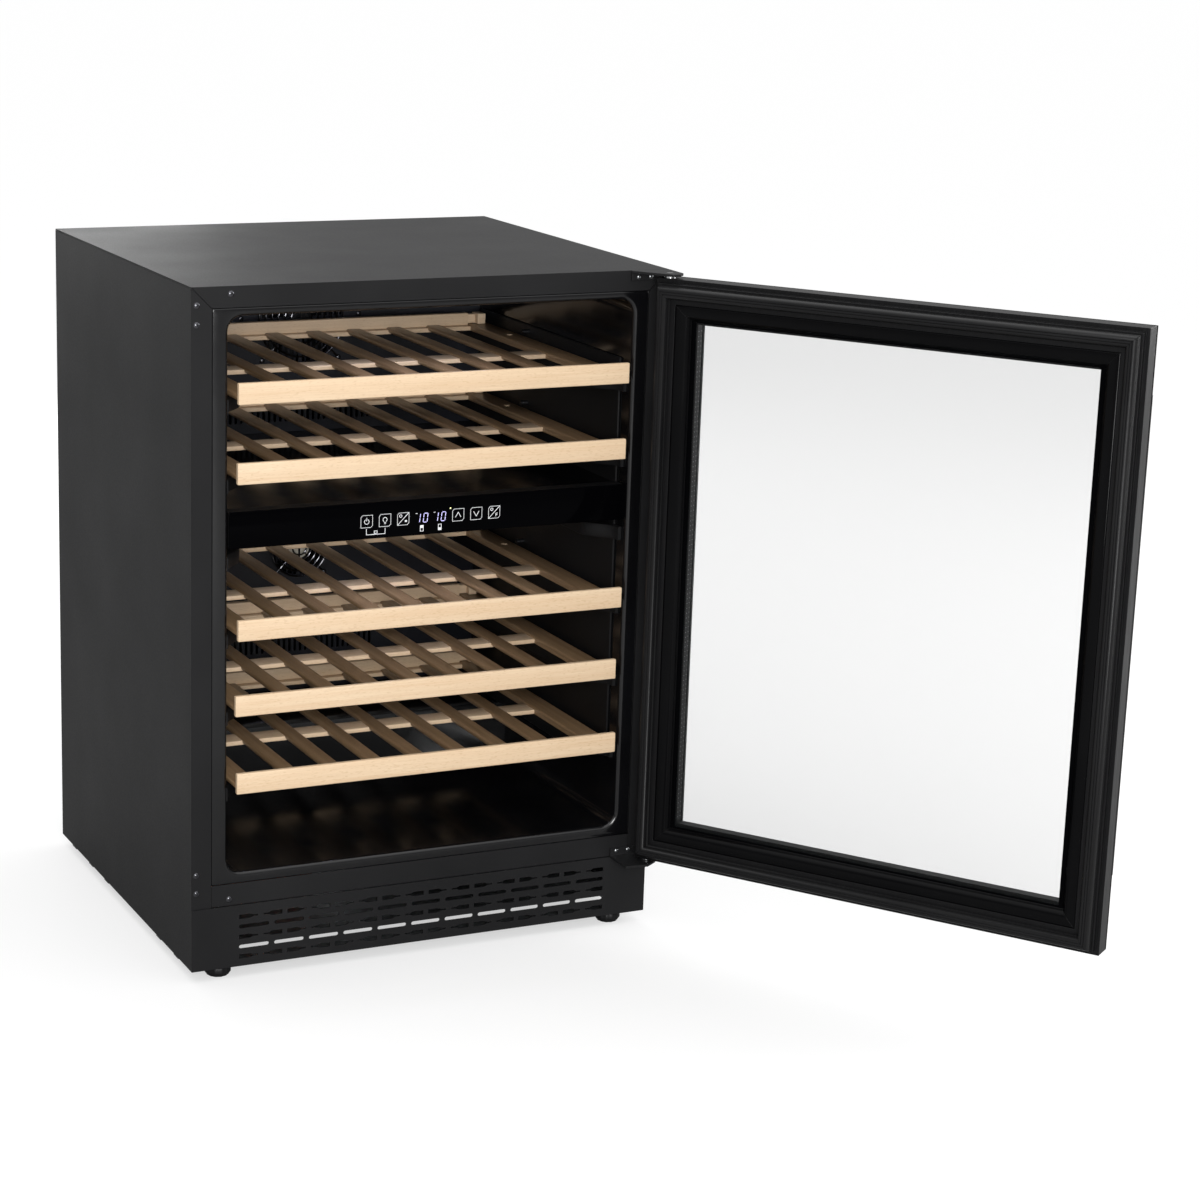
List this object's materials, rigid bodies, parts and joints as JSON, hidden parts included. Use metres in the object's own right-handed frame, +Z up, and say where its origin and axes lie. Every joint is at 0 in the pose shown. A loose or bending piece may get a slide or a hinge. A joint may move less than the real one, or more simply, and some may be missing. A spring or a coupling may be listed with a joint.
{
  "type": "wine cooler",
  "caption": "Under-counter wine cooler with two temperature zones, sliding beech slat shelves and an open glazed door hinged at the right",
  "frame": {"origin": "on the floor, under the middle of the whole object with the door standing open as stored", "axes": "+Z up; the cabinet front and the shelf fronts face -Y; +X is the side the door is hinged on"},
  "size_m": [0.9496, 1.0396, 0.82],
  "materials": {
    "painted_steel": "fine matte black powder coat",
    "galvanised_steel": "bare galvanised sheet",
    "liner_plastic": "glossy black moulded plastic",
    "matte_plastic": "matte black plastic",
    "duct_plastic": "fine orange-peel texture, blue-black",
    "beech": "clear-lacquered beech with fine grain",
    "black_aluminium": "black anodised",
    "black_glass": "glossy black printed glass",
    "clear_glass": "clear, with a black printed border",
    "gasket_vinyl": "soft matte black vinyl",
    "chrome": "bright wire and pins",
    "copper": "copper tube and fins",
    "bare_aluminium": "bright rolled",
    "lamp_lens": "milky lens",
    "black_iron": "black enamel"
  },
  "bodies": {
    "cabinet": {"back_panel": "galvanised_steel", "base_frame": "galvanised_steel", "bottom_hinge_bracket": "painted_steel", "bottom_hinge_pin": "chrome", "compressor": "black_iron", "compressor_bay_cover": "galvanised_steel", "condenser": "copper", "condenser_fan_frame": "matte_plastic", "control_glass": "black_glass", "control_housing": "matte_plastic", "kick_grille": "painted_steel", "left_shelf_support": "matte_plastic", "left_side_panel": "painted_steel", "liner": "liner_plastic", "lower_duct_panel": "duct_plastic", "lower_evaporator": "bare_aluminium", "lower_fan_guard": "chrome", "lower_lamp": "lamp_lens", "lower_rail": "painted_steel", "power_inlet": "matte_plastic", "right_shelf_support": "matte_plastic", "right_side_panel": "painted_steel", "top_hinge_bracket": "painted_steel", "top_hinge_pin": "chrome", "top_panel": "painted_steel", "upper_duct_panel": "duct_plastic", "upper_evaporator": "bare_aluminium", "upper_fan_guard": "chrome", "upper_lamp": "lamp_lens", "zone_divider": "liner_plastic"},
    "door": {"door_frame": "black_aluminium", "outer_glass": "clear_glass", "inner_glass": "clear_glass", "glazing_spacer": "bare_aluminium", "inner_trim": "matte_plastic", "door_gasket": "gasket_vinyl", "door_handle": "black_aluminium"},
    "shelf_1": {"shelf_1_front_board": "beech", "shelf_1_rack": "beech", "shelf_1_rear_stop": "beech"},
    "shelf_2": {"shelf_2_front_board": "beech", "shelf_2_rack": "beech", "shelf_2_rear_stop": "beech"},
    "shelf_3": {"shelf_3_front_board": "beech", "shelf_3_rack": "beech", "shelf_3_rear_stop": "beech"},
    "shelf_4": {"shelf_4_front_board": "beech", "shelf_4_rack": "beech", "shelf_4_rear_stop": "beech"},
    "shelf_5": {"shelf_5_front_board": "beech", "shelf_5_rack": "beech", "shelf_5_rear_stop": "beech"},
    "upper_circulation_fan": {"upper_fan_rotor": "matte_plastic"},
    "lower_circulation_fan": {"lower_fan_rotor": "matte_plastic"},
    "condenser_fan": {"condenser_fan_rotor": "matte_plastic"},
    "levelling_front_left_foot": {"front_left_foot": "matte_plastic"},
    "levelling_front_right_foot": {"front_right_foot": "matte_plastic"},
    "levelling_rear_left_foot": {"rear_left_foot": "matte_plastic"},
    "levelling_rear_right_foot": {"rear_right_foot": "matte_plastic"}
  },
  "joints": [
    {"name": "door_hinge", "type": "hinge", "parent": "cabinet", "child": "door", "pos_m": [0.10744, -0.03664, 0.454], "axis": [0, 0, 1], "range_deg": [-125.2, 9.8]},
    {"name": "shelf_1_slide", "type": "slide", "parent": "cabinet", "child": "shelf_1", "axis": [0, -1, 0], "range_m": [-0.0061, 0.1101]},
    {"name": "shelf_2_slide", "type": "slide", "parent": "cabinet", "child": "shelf_2", "axis": [0, -1, 0], "range_m": [-0.0004, 0.1158]},
    {"name": "shelf_3_slide", "type": "slide", "parent": "cabinet", "child": "shelf_3", "axis": [0, -1, 0], "range_m": [-0.0085, 0.1077]},
    {"name": "shelf_4_slide", "type": "slide", "parent": "cabinet", "child": "shelf_4", "axis": [0, -1, 0], "range_m": [-0.005, 0.1112]},
    {"name": "shelf_5_slide", "type": "slide", "parent": "cabinet", "child": "shelf_5", "axis": [0, -1, 0], "range_m": [-0.007, 0.1092]},
    {"name": "upper_circulation_fan_spin", "type": "hinge", "parent": "cabinet", "child": "upper_circulation_fan", "pos_m": [-0.17732, 0.44376, 0.707], "axis": [0, -1, 0], "continuous": true},
    {"name": "lower_circulation_fan_spin", "type": "hinge", "parent": "cabinet", "child": "lower_circulation_fan", "pos_m": [-0.17732, 0.44376, 0.40484], "axis": [0, -1, 0], "continuous": true},
    {"name": "condenser_fan_spin", "type": "hinge", "parent": "cabinet", "child": "condenser_fan", "pos_m": [-0.32732, 0.33926, 0.0617], "axis": [0, -1, 0], "continuous": true},
    {"name": "levelling_front_left_foot_thread", "type": "slide", "parent": "cabinet", "child": "levelling_front_left_foot", "axis": [0, 0, 1], "range_m": [-0.015, 0]},
    {"name": "levelling_front_right_foot_thread", "type": "slide", "parent": "cabinet", "child": "levelling_front_right_foot", "axis": [0, 0, 1], "range_m": [-0.015, 0]},
    {"name": "levelling_rear_left_foot_thread", "type": "slide", "parent": "cabinet", "child": "levelling_rear_left_foot", "axis": [0, 0, 1], "range_m": [-0.015, 0]},
    {"name": "levelling_rear_right_foot_thread", "type": "slide", "parent": "cabinet", "child": "levelling_rear_right_foot", "axis": [0, 0, 1], "range_m": [-0.015, 0]}
  ]
}
